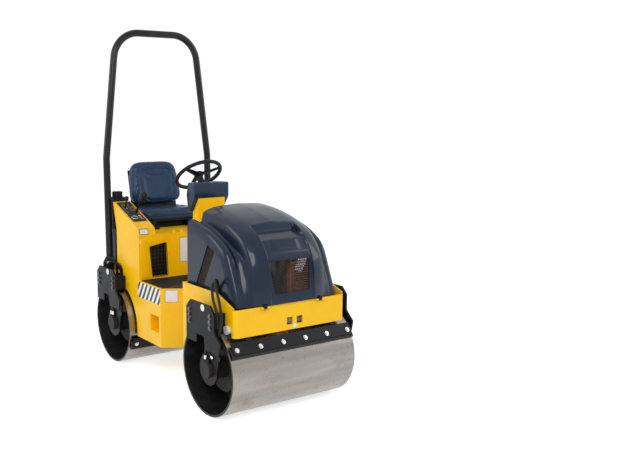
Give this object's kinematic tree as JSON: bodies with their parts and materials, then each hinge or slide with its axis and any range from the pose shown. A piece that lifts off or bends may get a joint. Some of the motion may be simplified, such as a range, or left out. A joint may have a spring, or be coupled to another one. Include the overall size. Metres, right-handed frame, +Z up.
{
  "type": "ride-on tandem roller",
  "caption": "Ride-on tandem roller with smooth steel drums, articulated frame, tilting hood, operator seat with console, and roll-over hoop.",
  "frame": {"origin": "on the ground, midway between both drum axles on the machine's centre line", "axes": "+X to the machine's left, -Y to its front, +Z up"},
  "size_m": [1.01, 1.855, 2.3737],
  "materials": {
    "yellow_paint": "gloss industrial paint",
    "black_paint": "satin black paint",
    "grey_paint": "satin grey paint",
    "drum_steel": "rolled steel, worn bright",
    "plated_steel": "zinc plated fasteners",
    "rod_chrome": "polished",
    "cast_iron": "as cast, painted dark",
    "engine_alloy": "die cast",
    "cooler_paint": "orange brown paint",
    "black_rubber": "matt",
    "hood_plastic": "moulded, satin",
    "black_mesh": "expanded mesh, black",
    "black_plastic": "moulded, matt",
    "white_plastic": "moulded",
    "seat_vinyl": "black vinyl",
    "red_plastic": "moulded"
  },
  "bodies": {
    "rear_chassis": {"rear_frame": "yellow_paint", "floor_mat": "black_rubber", "seat_base": "yellow_paint", "seat_base_grille": "black_mesh", "right_console": "yellow_paint", "console_trim": "black_plastic", "rops_hoop": "black_paint", "rops_brackets": "black_paint", "dash_column": "yellow_paint", "dash_box": "black_plastic", "steering_column": "grey_paint", "seat_rails": "grey_paint", "rear_arm_right": "black_paint", "rear_arm_left": "black_paint", "rear_bolts": "plated_steel", "rear_drive_motor": "cast_iron", "rear_scraper_bar": "black_paint", "rear_scraper_blade": "black_rubber", "water_tank": "black_plastic", "battery": "black_plastic", "articulation_pin": "plated_steel", "rear_hoses": "black_rubber"},
    "centre_yoke": {"centre_yoke": "cast_iron", "yoke_nut": "plated_steel"},
    "steer_barrel": {"steer_barrel": "black_paint"},
    "steer_rod": {"steer_rod": "rod_chrome"},
    "front_chassis": {"front_frame": "yellow_paint", "front_arm_right": "black_paint", "front_arm_left": "black_paint", "front_bolts": "plated_steel", "front_drive_motor": "cast_iron", "vibration_motor": "cast_iron", "front_scraper_bar": "black_paint", "front_scraper_blade": "black_rubber", "spray_bar": "white_plastic", "front_hoses": "black_rubber", "engine_block": "engine_alloy", "oil_cooler": "cooler_paint", "muffler": "grey_paint", "air_filter": "black_plastic", "hydraulic_pump": "cast_iron", "fuel_tank": "white_plastic"},
    "engine_fan": {"engine_fan": "black_plastic"},
    "front_drum": {"front_drum": "drum_steel", "front_drive_disc": "black_paint", "exciter_bearings": "plated_steel"},
    "exciter": {"exciter_shaft": "plated_steel"},
    "rear_drum": {"rear_drum": "drum_steel", "rear_drive_disc": "black_paint"},
    "hood": {"hood_shell": "hood_plastic", "hood_grilles": "black_mesh"},
    "steering_wheel": {"steering_wheel": "black_plastic"},
    "travel_lever": {"travel_lever": "black_plastic"},
    "throttle_lever": {"throttle_lever": "red_plastic"},
    "ignition_key": {"ignition_key": "plated_steel"},
    "horn_button": {"horn_button": "red_plastic"},
    "seat": {"seat_pan": "black_paint", "seat_cushion": "seat_vinyl", "seat_back": "seat_vinyl"},
    "tank_cap": {"tank_cap": "black_plastic"}
  },
  "joints": [
    {"name": "articulation", "type": "hinge", "parent": "rear_chassis", "child": "centre_yoke", "pos_m": [0, -0.195, 0.46], "axis": [0, 0, 1], "range_deg": [-30, 30]},
    {"name": "oscillation", "type": "hinge", "parent": "centre_yoke", "child": "front_chassis", "pos_m": [0, -0.3, 0.46], "axis": [0, 1, 0], "range_deg": [-8, 8]},
    {"name": "front_drum_roll", "type": "hinge", "parent": "front_chassis", "child": "front_drum", "pos_m": [0, -0.6475, 0.28], "axis": [1, 0, 0], "continuous": true},
    {"name": "exciter_spin", "type": "hinge", "parent": "front_chassis", "child": "exciter", "pos_m": [0, -0.6475, 0.28], "axis": [1, 0, 0], "continuous": true},
    {"name": "rear_drum_roll", "type": "hinge", "parent": "rear_chassis", "child": "rear_drum", "pos_m": [0, 0.6475, 0.28], "axis": [1, 0, 0], "continuous": true},
    {"name": "fan_spin", "type": "hinge", "parent": "front_chassis", "child": "engine_fan", "pos_m": [0, -0.729, 0.78], "axis": [0, 1, 0], "continuous": true},
    {"name": "hood_hinge", "type": "hinge", "parent": "front_chassis", "child": "hood", "pos_m": [0, -0.884, 0.664], "axis": [1, 0, 0], "range_deg": [0, 75]},
    {"name": "steering_wheel_turn", "type": "hinge", "parent": "rear_chassis", "child": "steering_wheel", "pos_m": [0, 0.181, 1.358], "axis": [0, 0.6101, 0.7923], "range_deg": [-540, 540]},
    {"name": "steer_cylinder_swing", "type": "hinge", "parent": "rear_chassis", "child": "steer_barrel", "pos_m": [-0.2, 0.205, 0.46], "axis": [0, 0, 1], "range_deg": [-3, 3]},
    {"name": "steer_cylinder_stroke", "type": "slide", "parent": "steer_barrel", "child": "steer_rod", "axis": [0.1724, -0.985, 0], "range_m": [-0.065, 0.065]},
    {"name": "travel_lever_swing", "type": "hinge", "parent": "rear_chassis", "child": "travel_lever", "pos_m": [-0.3, 0.56, 1.074], "axis": [1, 0, 0], "range_deg": [-20, 20]},
    {"name": "throttle_lever_swing", "type": "hinge", "parent": "rear_chassis", "child": "throttle_lever", "pos_m": [-0.352, 0.616, 1.092], "axis": [1, 0, 0], "range_deg": [-15, 20]},
    {"name": "key_turn", "type": "hinge", "parent": "rear_chassis", "child": "ignition_key", "pos_m": [-0.096, 0.108, 1.282], "axis": [0, 0.9734, 0.229], "range_deg": [0, 90]},
    {"name": "horn_press", "type": "slide", "parent": "rear_chassis", "child": "horn_button", "axis": [0, -0.9734, -0.229], "range_m": [0, 0.003], "stiffness_N_per_m": 300},
    {"name": "seat_slide", "type": "slide", "parent": "rear_chassis", "child": "seat", "axis": [0, 1, 0], "range_m": [-0.1, 0.03]},
    {"name": "tank_cap_turn", "type": "hinge", "parent": "rear_chassis", "child": "tank_cap", "pos_m": [-0.345, 0.753, 1.176], "axis": [0, 0, 1], "range_deg": [0, 90]}
  ],
  "couplings": [
    {"joint": "steering_wheel_turn", "follows": "articulation", "ratio": 18},
    {"joint": "steer_cylinder_stroke", "follows": "articulation", "m_per_rad": 0.12121},
    {"joint": "steer_cylinder_swing", "follows": "articulation", "ratio": -0.0663}
  ]
}
